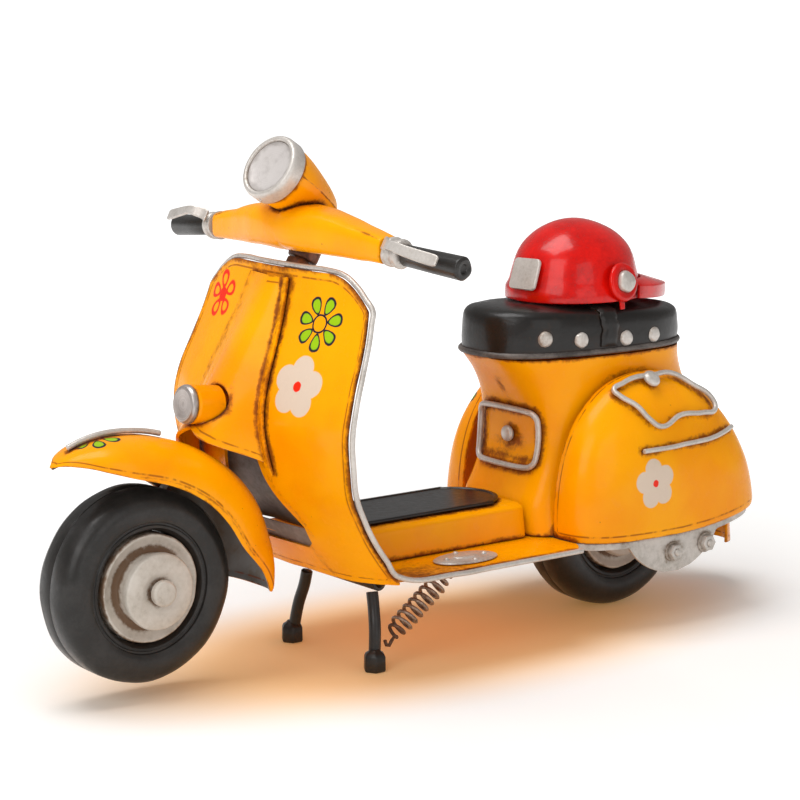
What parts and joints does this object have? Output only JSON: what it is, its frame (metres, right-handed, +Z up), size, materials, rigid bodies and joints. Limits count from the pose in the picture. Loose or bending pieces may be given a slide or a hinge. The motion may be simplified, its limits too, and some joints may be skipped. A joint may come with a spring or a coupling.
{
  "type": "tin model scooter",
  "caption": "Painted tin step-through scooter with a steering front wheel, rolling rear wheel, folding centre stand and a red riding helmet on its seat.",
  "frame": {"origin": "on the ground, under the middle of the length and width", "axes": "+X forward, +Y to the rider's left, +Z up"},
  "size_m": [0.2708, 0.1488, 0.1638],
  "materials": {
    "aged_steel": "satin, worn",
    "black_paint": "semi-gloss",
    "frosted_lens": "satin",
    "orange_paint": "gloss paint with a brown wash",
    "red_paint": "gloss",
    "silver_paint": "satin, worn",
    "spring_steel": "rusty",
    "spun_aluminium": "spun",
    "tyre_black": "semi-gloss"
  },
  "bodies": {
    "chassis": {"body_shell": "orange_paint", "casing_nut_left_front": "silver_paint", "casing_nut_left_rear": "silver_paint", "casing_nut_right_front": "silver_paint", "casing_nut_right_rear": "silver_paint", "column_cover": "orange_paint", "cowl_handle_left": "silver_paint", "cowl_handle_right": "silver_paint", "cowl_strip_left": "silver_paint", "cowl_strip_right": "silver_paint", "engine_casing_left": "silver_paint", "engine_casing_right": "silver_paint", "floorboard": "orange_paint", "foot_plate_left": "silver_paint", "foot_plate_right": "silver_paint", "glovebox_frame": "silver_paint", "glovebox_knob": "silver_paint", "head_tube": "orange_paint", "helmet_badge": "silver_paint", "helmet_ear_left": "red_paint", "helmet_ear_right": "red_paint", "helmet_peak": "red_paint", "helmet_shell": "red_paint", "horn_apron": "orange_paint", "horn_cap": "spun_aluminium", "horn_housing": "orange_paint", "leg_shield": "orange_paint", "rear_axle": "silver_paint", "seat": "black_paint", "seat_strap": "black_paint", "shield_trim": "silver_paint", "side_cowl_left": "orange_paint", "side_cowl_right": "orange_paint", "stand_pivot": "black_paint", "stand_spring": "spring_steel", "tail_flap": "orange_paint", "tunnel": "orange_paint", "tunnel_mat": "black_paint"},
    "steering": {"steering_stem": "silver_paint", "headset": "orange_paint", "headlight_shell": "orange_paint", "headlight_bezel": "silver_paint", "headlight_lens": "frosted_lens", "bar_collar_left": "silver_paint", "bar_collar_right": "silver_paint", "grip_left": "black_paint", "grip_right": "black_paint", "lever_left": "silver_paint", "lever_right": "silver_paint", "front_mudguard": "orange_paint", "mudguard_crest": "silver_paint", "fork_arm": "silver_paint", "front_axle": "silver_paint"},
    "front_wheel": {"front_tyre": "tyre_black", "front_rim": "aged_steel"},
    "rear_wheel": {"rear_tyre": "tyre_black", "rear_rim": "aged_steel"},
    "stand": {"stand_tube": "black_paint", "stand_leg_left": "black_paint", "stand_leg_right": "black_paint"}
  },
  "joints": [
    {"name": "steer", "type": "hinge", "parent": "chassis", "child": "steering", "pos_m": [0.0456, 0, 0.125], "axis": [-0.515, 0, 0.8572], "range_deg": [-25, 25]},
    {"name": "front_roll", "type": "hinge", "parent": "steering", "child": "front_wheel", "pos_m": [0.106, 0, 0.0345], "axis": [0, 1, 0], "continuous": true},
    {"name": "rear_roll", "type": "hinge", "parent": "chassis", "child": "rear_wheel", "pos_m": [-0.079, 0, 0.0295], "axis": [0, 1, 0], "continuous": true},
    {"name": "stand_fold", "type": "hinge", "parent": "chassis", "child": "stand", "pos_m": [0.031, 0, 0.027], "axis": [0, 1, 0], "range_deg": [0, 80], "deforming": ["stand_spring"]}
  ]
}
